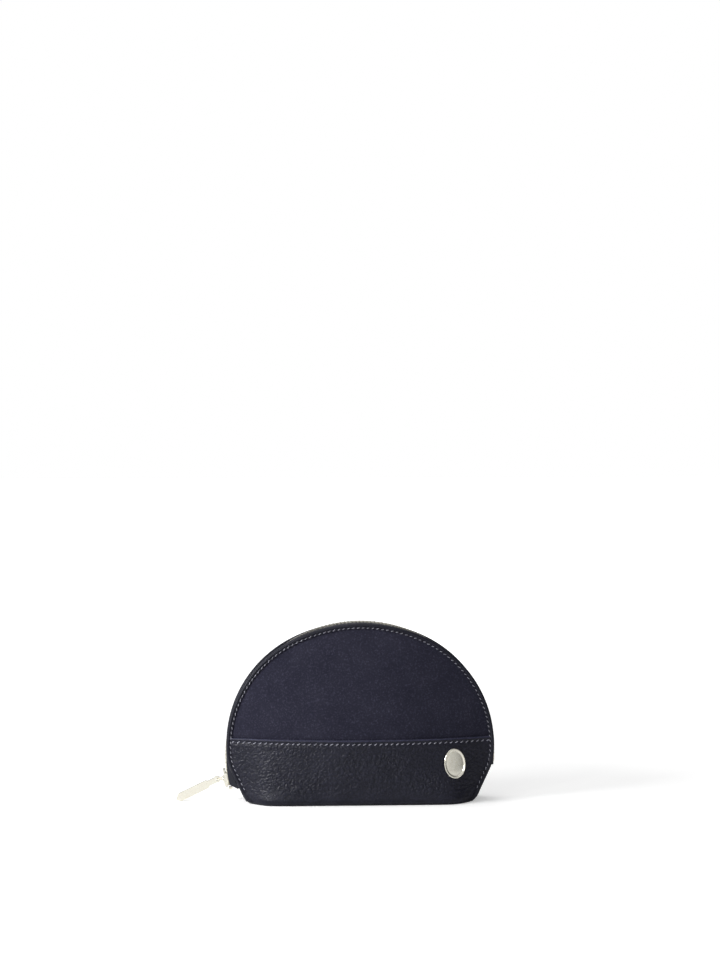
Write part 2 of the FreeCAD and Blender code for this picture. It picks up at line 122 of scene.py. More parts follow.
TUCK_END = 14.5
BADGE_WIDE = 14.6
BADGE_HIGH = 19.0
BADGE_PROFILE = ((0.02, 1.62), (0.3, 1.58), (0.55, 1.46), (0.72, 1.3), (0.8, 1.18),
                 (0.835, 1.2), (0.86, 1.5), (0.9, 1.78), (0.94, 1.8), (0.975, 1.68),
                 (1.0, 1.35), (1.0, 0.5), (0.9, 0.4), (0.02, 0.4))

# Without a seed of its own, noise_vector draws on the clock.
noise.seed_set(NOISE_SEED)


def depth(x, z):
    """Distance of the suede's outer face from the mid-plane, as in the CAD part."""
    rise = z - ARCH_Z
    r2 = x * x + rise * rise
    diagonal = 2 * abs(x) * max(rise, 0) / max(r2, 1)
    rho2 = r2 / (ARCH_R + SHOULDER_FULL * diagonal ** 2) ** 2
    crown = CROWN * (1 - CROWN_TAPER * z / ARCH_TOP)
    moon = EDGE_DEPTH + crown * (1 - rho2)
    box = EDGE_DEPTH + (BASE_DEPTH - EDGE_DEPTH) / (1 + (x / BASE_HALF) ** BASE_POWER)
    foot = max(0.0, 1 - max(z, 0) / BASE_FADE) ** 2
    return foot * box + (1 - foot) * moon


def turn_under(z):
    """How far the band has turned under at height z."""
    return FOOT_IN * (1 - z / FOOT_Z) ** 2 if z < FOOT_Z else 0.0


def smooth(value, low, high):
    """0 below low, 1 above high, and a smooth step between them."""
    t = min(1.0, max(0.0, (value - low) / (high - low)))
    return t * t * (3 - 2 * t)


def bump(value, middle, width):
    """Bell curve of height 1."""
    return math.exp(-((value - middle) / width) ** 2)


# ---- outline ----
class Outline:
    """The front outline, from the floor on the left over the arch to the floor on the right."""

    def __init__(self):
        self.knee = self.circle(SHOULDER_R - KNEE_R, KNEE_START, SHOULDER_X, SHOULDER_Z)
        self.lean = math.radians(KNEE_END)
        bottom = self.circle(KNEE_R, KNEE_END, *self.knee)
        self.side = bottom[1] / math.cos(self.lean)
        self.knee_long = KNEE_R * math.radians(KNEE_START - KNEE_END)
        self.shoulder_long = SHOULDER_R * math.radians(CREST_ANGLE - KNEE_START)
        self.crest_long = CREST_R * math.radians(90 - CREST_ANGLE)
        self.length = 2 * (self.side + self.knee_long + self.shoulder_long + self.crest_long)

    @staticmethod
    def circle(radius, angle, x, z):
        turn = math.radians(angle)
        return x + radius * math.cos(turn), z + radius * math.sin(turn)

    def right(self, s):
        """Point and outward normal at s along the right half, from the floor up to the arch."""
        if s < self.side:
            x, z = self.circle(KNEE_R, KNEE_END, *self.knee)
            back = self.side - s
            point = (x + back * math.sin(self.lean), z - back * math.cos(self.lean))
            return point, (math.cos(self.lean), math.sin(self.lean))
        s -= self.side
        if s < self.knee_long:
            angle = KNEE_END + math.degrees(s / KNEE_R)
            return self.circle(KNEE_R, angle, *self.knee), self.circle(1, angle, 0, 0)
        s -= self.knee_long
        if s < self.shoulder_long:
            angle = KNEE_START + math.degrees(s / SHOULDER_R)
            return self.circle(SHOULDER_R, angle, SHOULDER_X, SHOULDER_Z), self.circle(1, angle, 0, 0)
        angle = CREST_ANGLE + math.degrees((s - self.shoulder_long) / CREST_R)
        return self.circle(CREST_R, angle, 0, CREST_Z - CREST_R), self.circle(1, angle, 0, 0)

    def at(self, s):
        """Point and outward normal at s, from the left end of the floor."""
        if s > self.length / 2:
            return self.right(self.length - s)
        (x, z), (nx, nz) = self.right(s)
        return (-x, z), (-nx, nz)


OUTLINE = Outline()


def corner(z):
    """How far the lower corners are rounded in, just above the floor."""
    return CORNER_IN * (1 - max(z, 0) / CORNER_Z) ** 2 if z < CORNER_Z else 0.0


def half_width(z, inset):
    """Half the outline's width at height z, moved in by inset."""
    (kx, kz), lean = OUTLINE.knee, OUTLINE.lean
    knee_low = kz + (KNEE_R - inset) * math.sin(lean)
    shoulder_low = SHOULDER_Z + (SHOULDER_R - inset) * math.sin(math.radians(KNEE_START))
    crest_low = CREST_Z - CREST_R + (CREST_R - inset) * math.sin(math.radians(CREST_ANGLE))
    if z < knee_low:
        return kx + (KNEE_R - inset) * math.cos(lean) - (knee_low - z) * math.tan(-lean) - corner(z)
    if z < shoulder_low:
        return kx + math.sqrt(max(0.0, (KNEE_R - inset) ** 2 - (z - kz) ** 2))
    if z < crest_low:
        return SHOULDER_X + math.sqrt(max(0.0, (SHOULDER_R - inset) ** 2 - (z - SHOULDER_Z) ** 2))
    return math.sqrt(max(0.0, (CREST_R - inset) ** 2 - (z - CREST_Z + CREST_R) ** 2))


def lining_width(z, inset):
    """Half the lining's width: it also stays inside the zip tape's leg."""
    leg = math.sqrt(max(0.0, (LEG_R - LEG_CLEAR) ** 2 - (z - ARCH_Z) ** 2))
    return min(half_width(z, inset), leg)


# ---- mesh helpers ----
def new_object(name, verts, faces, mat):
    """Mesh object from millimetre vertices."""
    mesh = bpy.data.meshes.new(name)
    mesh.from_pydata([tuple(c * MM for c in v) for v in verts], [], faces)
    mesh.validate()
    mesh.update()
    obj = bpy.data.objects.new(name, mesh)
    bpy.context.scene.collection.objects.link(obj)
    mesh.materials.append(mat)
    mesh.polygons.foreach_set("use_smooth", [True] * len(mesh.polygons))
    return obj


def loft(name, rings, mat):
    """Skin over a row of closed rings that have equally many points.

    A curved ring has no flat cap, so each end is a strip between the ring's two halves.
    """
    count = len(rings[0])
    verts = [p for ring in rings for p in ring]
    faces = []
    for i in range(len(rings) - 1):
        a, b = i * count, (i + 1) * count
        for j in range(count):
            k = (j + 1) % count
            faces.append((a + j, a + k, b + k, b + j))
    for first in (0, (len(rings) - 1) * count):
        for k in range(count // 2):
            a, b, c, d = k, k + 1, count - 2 - k, count - 1 - k
            if b <= c:
                points = (a, b, d) if b == c else (a, b, c, d)
                faces.append(tuple(first + n for n in points))
    obj = new_object(name, verts, faces, mat)
    fix_normals(obj)
    return obj


def fix_normals(obj):
    """Turn every face outward."""
    bm = bmesh.new()
    bm.from_mesh(obj.data)
    bmesh.ops.recalc_face_normals(bm, faces=bm.faces)
    bm.to_mesh(obj.data)
    bm.free()


def panel(name, side, face, thick, low, high, inset, mat, columns, rows, edge=0.35, width=half_width):
    """Closed shell over the pouch's face, from height low to height high.

    face(x, z) gives the outer face's distance from the mid-plane. Rows bunch up towards
    the arch's crest, and the top and bottom edges are rounded.
    """
    reach = CREST_Z - inset - ARCH_Z
    span = math.asin(min(1.0, (high - ARCH_Z) / reach))
    start = math.asin((low - ARCH_Z) / reach)
    heights = [ARCH_Z + reach * math.sin(start + (span - start) * i / rows) for i in range(rows + 1)]
    rolls = []
    for z in heights:
        near = min(z - heights[0], heights[-1] - z)
        rolls.append(edge * (1 - min(1.0, near / edge)) ** 2)
    rings = []
    for c in range(columns + 1):
        u = -1 + 2 * c / columns
        ring = []
        for z, roll in zip(heights, rolls):
            x = u * width(z, inset)
            ring.append((x, side * (face(x, z) - roll), z))
        for z, roll in zip(reversed(heights), reversed(rolls)):
            x = u * width(z, inset)
            ring.append((x, side * (base_face(name, x, z) - thick + roll), z))
        rings.append(ring)
    return loft(name, rings, mat)


def base_face(name, x, z):
    """Plain outer face of a panel, with no relief, that its inner face follows."""
    if "band" in name:
        return depth(x, z) + BAND_FACE - turn_under(z)
    if "stiffener" in name:
        return depth(x, z) + BOARD_FACE
    if "lining" in name:
        return depth(x, z) + LINING_FACE
    return depth(x, z)


# ---- materials ----
def material(name):
    """New node material, with its tree and its shader."""
    mat = bpy.data.materials.new(name)
    mat.use_nodes = True
    tree = mat.node_tree
    tree.nodes.clear()
    shader = tree.nodes.new("ShaderNodeBsdfPrincipled")
    output = tree.nodes.new("ShaderNodeOutputMaterial")
    tree.links.new(shader.outputs[0], output.inputs[0])
    return mat, tree, shader


def texture(tree, kind, scale, **inputs):
    """Texture node on object coordinates."""
    coords = tree.nodes.new("ShaderNodeTexCoord")
    node = tree.nodes.new(kind)
    tree.links.new(coords.outputs["Object"], node.inputs["Vector"])
    node.inputs["Scale"].default_value = scale
    for key, value in inputs.items():
        node.inputs[key.replace("_", " ")].default_value = value
    return node


def ramp(tree, source, low, high, dark, light):
    """Colours between two values of a source."""
    node = tree.nodes.new("ShaderNodeValToRGB")
    node.color_ramp.elements[0].position = low
    node.color_ramp.elements[0].color = (*dark, 1)
    node.color_ramp.elements[1].position = high
    node.color_ramp.elements[1].color = (*light, 1)
    tree.links.new(source, node.inputs["Fac"])
    return node.outputs["Color"]


def mix(tree, factor, first, second, mode="MIX"):
    """Mix of two colours, by a number or a socket."""
    node = tree.nodes.new("ShaderNodeMix")
    node.data_type = "RGBA"
    node.blend_type = mode
    if isinstance(factor, (int, float)):
        node.inputs["Factor"].default_value = factor
    else:
        tree.links.new(factor, node.inputs["Factor"])
    tree.links.new(first, node.inputs[6])
    tree.links.new(second, node.inputs[7])
    return node.outputs[2]


def add_bump(tree, shader, layers):
    """Chain of bump nodes: (height socket, strength, distance in metres)."""
    before = None
    for height, strength, distance in layers:
        node = tree.nodes.new("ShaderNodeBump")
        node.inputs["Strength"].default_value = strength
        node.inputs["Distance"].default_value = distance
        tree.links.new(height, node.inputs["Height"])
        if before is not None:
            tree.links.new(before, node.inputs["Normal"])
        before = node.outputs["Normal"]
    tree.links.new(before, shader.inputs["Normal"])


def range_of(tree, source, low, high, start=0.0, end=1.0):
    """Map a source that runs from start to end onto low to high."""
    node = tree.nodes.new("ShaderNodeMapRange")
    node.inputs["From Min"].default_value = start
    node.inputs["From Max"].default_value = end
    node.inputs["To Min"].default_value = low
    node.inputs["To Max"].default_value = high
    tree.links.new(source, node.inputs["Value"])
    return node.outputs["Result"]


def suede_material():
    """Brushed nap: mottled navy with pale fibre flecks and a soft sheen."""
    mat, tree, shader = material("suede_nap")
    clouds = texture(tree, "ShaderNodeTexNoise", 55, Detail=5.0, Roughness=0.62)
    grain = texture(tree, "ShaderNodeTexNoise", 900, Detail=3.0, Roughness=0.7)
    fibres = texture(tree, "ShaderNodeTexNoise", 2600, Detail=2.0, Roughness=0.6)
    dark, light = (0.0195, 0.0195, 0.033), (0.0275, 0.0272, 0.0435)
    base = ramp(tree, clouds.outputs["Fac"], 0.3, 0.72, dark, light)
    flecks = ramp(tree, grain.outputs["Fac"], 0.5, 0.76, (0.88, 0.88, 0.88), (1.95, 1.92, 1.85))
    colour = mix(tree, 1.0, base, flecks, "MULTIPLY")
    tree.links.new(colour, shader.inputs["Base Color"])
    shader.inputs["Roughness"].default_value = 0.93
    shader.inputs["Specular IOR Level"].default_value = 0.06
    shader.inputs["Sheen Weight"].default_value = 0.14
    shader.inputs["Sheen Roughness"].default_value = 0.45
    shader.inputs["Sheen Tint"].default_value = (0.55, 0.58, 0.75, 1)
    add_bump(tree, shader, [(clouds.outputs["Fac"], 0.2, 0.0004),
                            (grain.outputs["Fac"], 0.4, 0.00014),
                            (fibres.outputs["Fac"], 0.4, 0.00008)])
    return mat


def leather_material(name, cell, relief, rough, tone=1.0, painted_light=False):
    """Navy leather with a fine grain and painted shade in its creases, and where asked, the mesh's own
    tone of painted shade and painted highlight.
    """
    mat, tree, shader = material(name)
    cells = texture(tree, "ShaderNodeTexVoronoi", 1 / cell)
    cells.feature = "SMOOTH_F1"
    cells.inputs["Smoothness"].default_value = 0.35
    pores = texture(tree, "ShaderNodeTexNoise", 2200, Detail=3.0, Roughness=0.6)
    clouds = texture(tree, "ShaderNodeTexNoise", 70, Detail=4.0, Roughness=0.55)
    dark = tuple(c * tone for c in (0.0105, 0.0110, 0.0205))
    light = tuple(c * tone for c in (0.0160, 0.0165, 0.0285))
    base = ramp(tree, clouds.outputs["Fac"], 0.3, 0.7, dark, light)
    # Painted shade in the grain's creases, with a little painted light on the crowns.
    crown, shaded_crease = (1.12, 1.12, 1.1), (0.72, 0.72, 0.75)
    grain_shade = ramp(tree, cells.outputs["Distance"], 0.25, 0.75, crown, shaded_crease)
    colour = mix(tree, 1.0, base, grain_shade, "MULTIPLY")
    # The band's painted shade and painted highlight, from its vertex colours.
    if painted_light:
        layer = tree.nodes.new("ShaderNodeVertexColor")
        layer.layer_name = "tone"
        colour = mix(tree, 1.0, colour, layer.outputs["Color"], "MULTIPLY")
    tree.links.new(colour, shader.inputs["Base Color"])
    roughness = range_of(tree, clouds.outputs["Fac"], rough - 0.06, rough + 0.08)
    tree.links.new(roughness, shader.inputs["Roughness"])
    shader.inputs["Specular IOR Level"].default_value = 0.22
    add_bump(tree, shader, [(cells.outputs["Distance"], relief, -0.00035),
                            (pores.outputs["Fac"], 0.3, 0.00008)])
    return mat


def gold_material():
    """Pale polished gold with faint handling marks."""
    mat, tree, shader = material("pale_gold")
    marks = texture(tree, "ShaderNodeTexNoise", 700, Detail=4.0, Roughness=0.6)
    colour = ramp(tree, marks.outputs["Fac"], 0.3, 0.7, (0.90, 0.86, 0.74), (0.96, 0.94, 0.84))
    tree.links.new(colour, shader.inputs["Base Color"])
    tree.links.new(range_of(tree, marks.outputs["Fac"], 0.14, 0.26), shader.inputs["Roughness"])
    shader.inputs["Metallic"].default_value = 1.0
    add_bump(tree, shader, [(marks.outputs["Fac"], 0.06, 0.0001)])
    return mat


def thread_material():
    """Grey-lilac twisted thread."""
    mat, tree, shader = material("grey_lilac_thread")
    twist = texture(tree, "ShaderNodeTexWave", 1500, Distortion=0.5)
    twist.bands_direction = "DIAGONAL"
    colour = ramp(tree, twist.outputs["Fac"], 0.2, 0.8, (0.16, 0.16, 0.20), (0.36, 0.36, 0.43))
    tree.links.new(colour, shader.inputs["Base Color"])
    shader.inputs["Roughness"].default_value = 0.6
    shader.inputs["Sheen Weight"].default_value = 0.2
    add_bump(tree, shader, [(twist.outputs["Fac"], 0.5, 0.00015)])
    return mat


def cloth_material(name, dark, light, threads):
    """Plain weave from two crossed sets of threads."""
    mat, tree, shader = material(name)
    across = texture(tree, "ShaderNodeTexWave", threads, Distortion=0.6, Detail=1.0)
    along = texture(tree, "ShaderNodeTexWave", threads, Distortion=0.6, Detail=1.0)
    across.bands_direction = "X"
    along.bands_direction = "Z"
    weave = mix(tree, 0.5, across.outputs["Color"], along.outputs["Color"])
    colour = ramp(tree, weave, 0.2, 0.8, dark, light)
    tree.links.new(colour, shader.inputs["Base Color"])
    shader.inputs["Roughness"].default_value = 0.85
    shader.inputs["Sheen Weight"].default_value = 0.15
    add_bump(tree, shader, [(weave, 0.5, 0.0002)])
    return mat


def board_material():
    """Pressed fibre board."""
    mat, tree, shader = material("fibre_board")
    fibre = texture(tree, "ShaderNodeTexNoise", 500, Detail=6.0, Roughness=0.7)
    colour = ramp(tree, fibre.outputs["Fac"], 0.3, 0.7, (0.2, 0.17, 0.13), (0.34, 0.3, 0.24))
    tree.links.new(colour, shader.inputs["Base Color"])
    shader.inputs["Roughness"].default_value = 0.9
    add_bump(tree, shader, [(fibre.outputs["Fac"], 0.3, 0.0001)])
    return mat


SUEDE_NAP = suede_material()
PEBBLED = leather_material("pebbled_leather", 0.00095, 0.35, 0.34, painted_light=True)
BASE_LEATHER = leather_material("base_leather", 0.00095, 0.35, 0.45)
BINDING_LEATHER = leather_material("binding_leather", 0.0006, 0.18, 0.5, tone=0.8)
GOLD = gold_material()
THREAD = thread_material()
LINING_CLOTH = cloth_material("lining_cloth", (0.16, 0.14, 0.125), (0.3, 0.27, 0.24), 1500)
TAPE_CLOTH = cloth_material("zip_tape_cloth", (0.011, 0.012, 0.02), (0.028, 0.03, 0.046), 1900)
FIBRE_BOARD = board_material()


# ---- leather band ----
def pebbles(x, y, z):
    """Relief of the pebbled grain, 0 in the creases and 1 on a pebble's crown."""
    along, across = (x + z) * PEBBLE_LONG, (z - x) * PEBBLE_WIDE
    warp = noise.noise_vector(Vector((x, y, z)) * 0.35) * 0.6
    distances, _ = noise.voronoi(Vector((along, y * 0.4, across)) + warp)
    crease = min(1.0, (distances[1] - distances[0]) / 0.42)
    small, _ = noise.voronoi(Vector((along, y * 0.4, across)) * 2.1 + warp)
    fine = min(1.0, (small[1] - small[0]) / 0.5)
    return 0.72 * math.sqrt(crease) + 0.28 * math.sqrt(fine)


def band_face(side):
    """Outer face of the band: pebbles, a folded top edge and a pulled-in stitch line."""
    def face(x, z):
        y = depth(x, z) + BAND_FACE - turn_under(z)
        near_edge = smooth(z, SEAM_Z - 0.2, SEAM_Z - 2.2)
        wave = 0.55 + 0.45 * math.cos(2 * math.pi * x / SEAM_PITCH)
        stitch = bump(z, SEAM_STITCH_Z, 0.75) * (0.26 * wave + 0.06)
        plump = 0.3 * bump(z, SEAM_Z - 0.9, 0.7) + 0.12 * bump(z, SEAM_STITCH_Z - 2.2, 1.4)
        strength = 0.85 * (1 - 0.85 * bump(z, SEAM_Z - 1.2, 1.8))
        strength *= 0.85 + 0.5 * noise.noise(Vector((x, side, z)) * 0.05)
        strength *= 0.25 + 0.75 * smooth(z, 3, 12)
        sag = 0.35 * noise.noise(Vector((x * 0.05, 3.7 * side, z * 0.07)))
        sag *= smooth(z, 2, 10) * smooth(z, 40, 33)
        relief = strength * (pebbles(x, side * y, z) - 0.75) * (0.4 + 0.6 * near_edge)
        return y + relief - stitch + plump + sag
    return face


def paint_band_light(obj):
    """Paint the band's tone: painted shade in the creases, painted light on the pebbles' crowns and a
    painted highlight along the folded top edge.
    """
    layer = obj.data.color_attributes.new("tone", "FLOAT_COLOR", "POINT")
    for vertex, cell in zip(obj.data.vertices, layer.data):
        x, y, z = vertex.co / MM
        # Painted shade in the pebbles' creases and painted light on their crowns.
        pebble_shade = 0.5 + 0.75 * pebbles(x, y, z)
        # Painted highlight along the band's folded top edge.
        tone = pebble_shade + 2.6 * bump(z, SEAM_Z - 0.25, 0.4)
        cell.color = (tone, tone, tone, 1)


def make_bands():
    """Both halves of the pebbled leather band."""
    for word, side in (("front", -1), ("back", 1)):
        columns, rows = (420, 110) if side < 0 else (300, 80)
        node = f"{word}_leather_band"
        obj = panel(node + "_soft", side, band_face(side), LEATHER, 0.05, SEAM_Z, PANEL_INSET,
                    PEBBLED, columns, rows)
        # Painted shade and painted highlight go into the band's vertex colours.
        paint_band_light(obj)
        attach(obj, "pouch")
        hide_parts(node)


# ---- suede, boards and lining ----
def suede_face(side):
    """Outer face of the suede: soft hollows and a slight pull along its edge."""
    def face(x, z):
        wander = noise.noise(Vector((x * 0.035, 1.3 * side, z * 0.04)))
        ripple = noise.noise(Vector((x * 0.11, 5.1 * side, z * 0.12)))
        from_side = smooth(half_width(z, PANEL_INSET) - abs(x), 0, 8)
        from_top = smooth(CREST_Z - PANEL_INSET - z, 0, 8)
        tuck = smooth(z, SEAM_Z - 1, SEAM_Z + 4)
        swell = (0.55 * wander + 0.12 * ripple) * from_side * from_top * tuck
        return depth(x, z) + swell - 0.5 * bump(z, SEAM_Z + 0.5, 1.1)
    return face


def plain(name):
    """Face with no relief."""
    def face(x, z):
        return base_face(name, x, z)
    return face


def make_panels():
    """Suede panels, the boards behind them and the lining."""
    for word, side in (("front", -1), ("back", 1)):
        suede = panel(f"{word}_suede_soft", side, suede_face(side), SUEDE, SEAM_Z - TUCK,
                      CREST_Z - PANEL_INSET - TOP_SPARE, PANEL_INSET, SUEDE_NAP, 150, 90)
        board = panel(f"{word}_stiffener_soft", side, plain("stiffener"), BOARD, SEAM_Z + BOARD_START,
                      CREST_Z - BOARD_INSET - TOP_SPARE, BOARD_INSET, FIBRE_BOARD, 60, 40)
        cloth = panel(f"{word}_lining_soft", side, plain("lining"), LINING, LINING_START,
                      ARCH_Z + LEG_R - LEG_CLEAR - 0.1, LINING_INSET, LINING_CLOTH, 80, 60,
                      edge=0.1, width=lining_width)
        for obj, node, slot in ((suede, "suede_panel", "suede"), (board, "stiffener", "board"),
                                (cloth, "lining", "lining")):
            follow(obj, side)
            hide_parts(f"{word}_{node}")


def follow(obj, side):
    """Back pieces ride on the pouch, and front ones have their transform baked into the mesh."""
    if side > 0:
        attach(obj, "pouch")
    else:
        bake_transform(obj)


# ---- edge binding ----
def binding_base(z):
    """Height of what the binding lies on: the suede, or the thicker band."""
    on_band = smooth(z, SEAM_Z + 1.5, SEAM_Z - 1.5)
    return BINDING_SEAT + (BAND_FACE - BINDING_SEAT) * on_band - turn_under(max(z, 0))


def make_bindings():
    """Rolled leather edges, swept along the outline."""
    steps = 560
    for word, side in (("front", -1), ("back", 1)):
        rings = []
        for i in range(steps + 1):
            s = 0.4 + (OUTLINE.length - 0.8) * i / steps
            (x, z), (nx, nz) = OUTLINE.at(s)
            pull = 0.5 + 0.5 * math.cos(2 * math.pi * s / ARC_PITCH)
            ring = []
            for inset, lift in BINDING_SECTION:
                px, pz = x - nx * inset, z - nz * inset
                px -= math.copysign(corner(z), x)
                groove = 0.3 * pull * bump(inset, ARC_INSET, 0.45)
                skin = 0.05 * noise.noise(Vector((px, side * inset, pz)) * 0.8)
                y = depth(px, pz) + binding_base(pz) + lift - groove + skin
                ring.append((px, side * y, pz))
            x -= math.copysign(corner(z), x)
            for inset, y in ((0.0, BINDING_IN + 0.5), (0.4, BINDING_IN), (1.1, BINDING_IN)):
                ring.append((x - nx * inset, side * y, z - nz * inset))
            for inset in (1.1, 3.0):
                px, pz = x - nx * inset, z - nz * inset
                ring.append((px, side * (depth(px, pz) + binding_base(pz) - 0.25), pz))
            rings.append(ring)
        obj = loft(f"{word}_edge_binding_soft", rings, BINDING_LEATHER)
        follow(obj, side)
        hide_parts(f"{word}_edge_binding")


# ---- stitches ----
def stitch(verts, faces, centre, along, up, long, radius):
    """One plump stitch: a capsule, flattened a little."""
    around = 8
    across = along.cross(up).normalized()
    first = len(verts)
    for place, width in STITCH_SECTIONS:
        dip = up * (-1.1 * radius * (2 * place) ** 4)
        for k in range(around):
            turn = 2 * math.pi * k / around
            sideways = across * (math.cos(turn) * radius * width)
            upward = up * (math.sin(turn) * radius * width * 0.8)
            verts.append(tuple(centre + along * (place * long) + sideways + upward + dip))
    for i in range(len(STITCH_SECTIONS) - 1):
        a, b = first + i * around, first + (i + 1) * around
        for k in range(around):
            n = (k + 1) % around
            faces.append((a + k, a + n, b + n, b + k))
    faces.append(tuple(first + k for k in reversed(range(around))))
    last = first + (len(STITCH_SECTIONS) - 1) * around
    faces.append(tuple(last + k for k in range(around)))


def surface_frame(side, face, x, z):
    """Point, unit tangent along X and outward normal of a face."""
    step = 0.4
    y = face(x, z)
    dx = (face(x + step, z) - face(x - step, z)) / (2 * step)
    dz = (face(x, z + step) - face(x, z - step)) / (2 * step)
    normal = Vector((-dx, side, -dz)).normalized()
    return Vector((x, side * y, z)), Vector((1, side * dx, 0)).normalized(), normal


def seam_face(x, z):
    """Face that the seam's stitches lie on."""
    return depth(x, z) + BAND_FACE


def arc_face(x, z):
    """Face that the binding's stitches lie on."""
    return depth(x, z) + binding_base(z) + ARC_LIFT


def make_seam_stitches():
    """Slanted stitches under the band's folded edge."""
    rng = random.Random(5)
    for word, side in (("front", -1), ("back", 1)):
        verts, faces = [], []
        reach = half_width(SEAM_STITCH_Z, LINING_INSET)
        count = int(2 * reach / SEAM_PITCH)
        for i in range(count + 1):
            x = (i - count / 2) * SEAM_PITCH
            centre, along, normal = surface_frame(side, seam_face, x, SEAM_STITCH_Z)
            tilt = Matrix.Rotation(side * SEAM_SLANT * rng.uniform(0.8, 1.2), 3, normal)
            long = SEAM_PITCH * 0.64 * rng.uniform(0.94, 1.06)
            stitch(verts, faces, centre + normal * 0.02, tilt @ along, normal, long, THREAD_R)
        obj = new_object(f"{word}_seam_stitches", verts, faces, THREAD)
        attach(obj, "pouch")


def make_arc_stitches():
    """Stitches round the binding."""
    rng = random.Random(9)
    for word, side in (("front", -1), ("back", 1)):
        verts, faces = [], []
        count = int((OUTLINE.length - 2 * ARC_MARGIN) / ARC_PITCH)
        first = (OUTLINE.length - count * ARC_PITCH) / 2
        for i in range(count + 1):
            s = first + i * ARC_PITCH
            (x, z), (nx, nz) = OUTLINE.at(s)
            centre, _, normal = surface_frame(side, arc_face, x - nx * ARC_INSET, z - nz * ARC_INSET)
            run = Vector((nz, 0, -nx))
            along = (run - normal * run.dot(normal)).normalized()
            tilt = Matrix.Rotation(side * ARC_SLANT * rng.uniform(0.7, 1.3), 3, normal)
            long = ARC_PITCH * 0.6 * rng.uniform(0.94, 1.06)
            stitch(verts, faces, centre, tilt @ along, normal, long, THREAD_R * 0.85)
        obj = new_object(f"{word}_arc_stitches", verts, faces, THREAD)
        follow(obj, side)


# ---- zip and hardware ----
def bevel(obj, width, segments=2):
    """Rounded edges, as a modifier."""
    mod = obj.modifiers.new("rounding", "BEVEL")
    mod.width = width * MM
    mod.segments = segments
    mod.limit_method = "ANGLE"
    mod.angle_limit = math.radians(35)
    mod.harden_normals = False


def paint(node, mat, rounding=None, segments=2):
    """Give a CAD node its material and, where it needs them, rounded edges."""
    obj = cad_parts[node]
    obj.data.materials.clear()
    obj.data.materials.append(mat)
    if rounding:
        bevel(obj, rounding, segments)


def tuck_in(obj):
    """Draw the zip's lower left end in towards the pouch's side, past the slider."""
    middle = Vector((0, 0, ARCH_Z * MM))
    for vertex in obj.data.vertices:
        arm = Vector((vertex.co.x, 0, vertex.co.z)) - middle
        angle = math.degrees(math.atan2(-arm.z, -arm.x))
        if arm.x < 0:
            pull = ZIP_TUCK * smooth(angle, TUCK_START, TUCK_END)
            vertex.co -= arm.normalized() * (pull * MM)


def soft_copy(node, mat, rounding=None):
    """Copy of a CAD node of the zip, which takes its place."""
    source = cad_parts[node]
    obj = bpy.data.objects.new(node + "_soft", source.data.copy())
    bpy.context.scene.collection.objects.link(obj)
    if "tape" in node:
        tuck_in(obj)
    obj.data.materials.clear()
    obj.data.materials.append(mat)
    if rounding:
        bevel(obj, rounding)
    follow(obj, -1 if node.startswith("front") else 1)
    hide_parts(node)


def make_zip():
    """Teeth, tapes, stops, slider and pull, and the washer behind the badge."""
    soft_copy("front_zip_teeth", GOLD, 0.14)
    soft_copy("front_zip_tape", TAPE_CLOTH)
    paint("back_zip_teeth", GOLD, 0.14)
    soft_copy("back_zip_tape", TAPE_CLOTH)
    paint("zip_top_stops", GOLD, 0.3)
    paint("zip_bottom_stop", GOLD, 0.3)
    paint("slider_body", GOLD, 0.3, 3)
    paint("slider_bridge", GOLD, 0.2, 3)
    paint("pull_link", GOLD)
    paint("pull_bar", GOLD, 0.35, 3)
    paint("badge_washer", GOLD, 0.1)


def make_badge():
    """Plain oval badge: a low dome inside a rounded rim."""
    step = 0.5
    low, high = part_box("badge_plate")
    x, z = (low[0] + high[0]) / 2 / MM, (low[2] + high[2]) / 2 / MM
    slope_x = (depth(x + step, z) - depth(x - step, z)) / (2 * step)
    slope_z = (depth(x, z + step) - depth(x, z - step)) / (2 * step)
    out = Vector((-slope_x, -1, -slope_z)).normalized()
    along = Vector((1, -slope_x, 0)).normalized()
    up = along.cross(out)
    up = up if up.z > 0 else -up
    centre = Vector((x, -(depth(x, z) + BAND_FACE), z))
    around = 96
    verts, faces = [], []
    for share, lift in BADGE_PROFILE:
        for k in range(around):
            turn = 2 * math.pi * k / around
            sideways = along * (BADGE_WIDE / 2 * share * math.cos(turn))
            upward = up * (BADGE_HIGH / 2 * share * math.sin(turn))
            verts.append(tuple(centre + sideways + upward + out * lift))
    for i in range(len(BADGE_PROFILE) - 1):
        for k in range(around):
            n = (k + 1) % around
            faces.append((i * around + k, i * around + n, (i + 1) * around + n, (i + 1) * around + k))
    faces.append(tuple(range(around)))
    faces.append(tuple((len(BADGE_PROFILE) - 1) * around + k for k in reversed(range(around))))
    obj = new_object("badge", verts, faces, GOLD)
    fix_normals(obj)
    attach(obj, "pouch")
    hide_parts("badge_plate")


def make_base():
    """Bottom leather, board, lining cloth and the tabs at the zip's ends."""
    paint("base_panel", BASE_LEATHER, 0.4)
    paint("base_board", FIBRE_BOARD, 0.2)
    paint("base_lining", LINING_CLOTH)
    paint("left_end_tab", BINDING_LEATHER, 0.3)
    paint("right_end_tab", BINDING_LEATHER, 0.3)


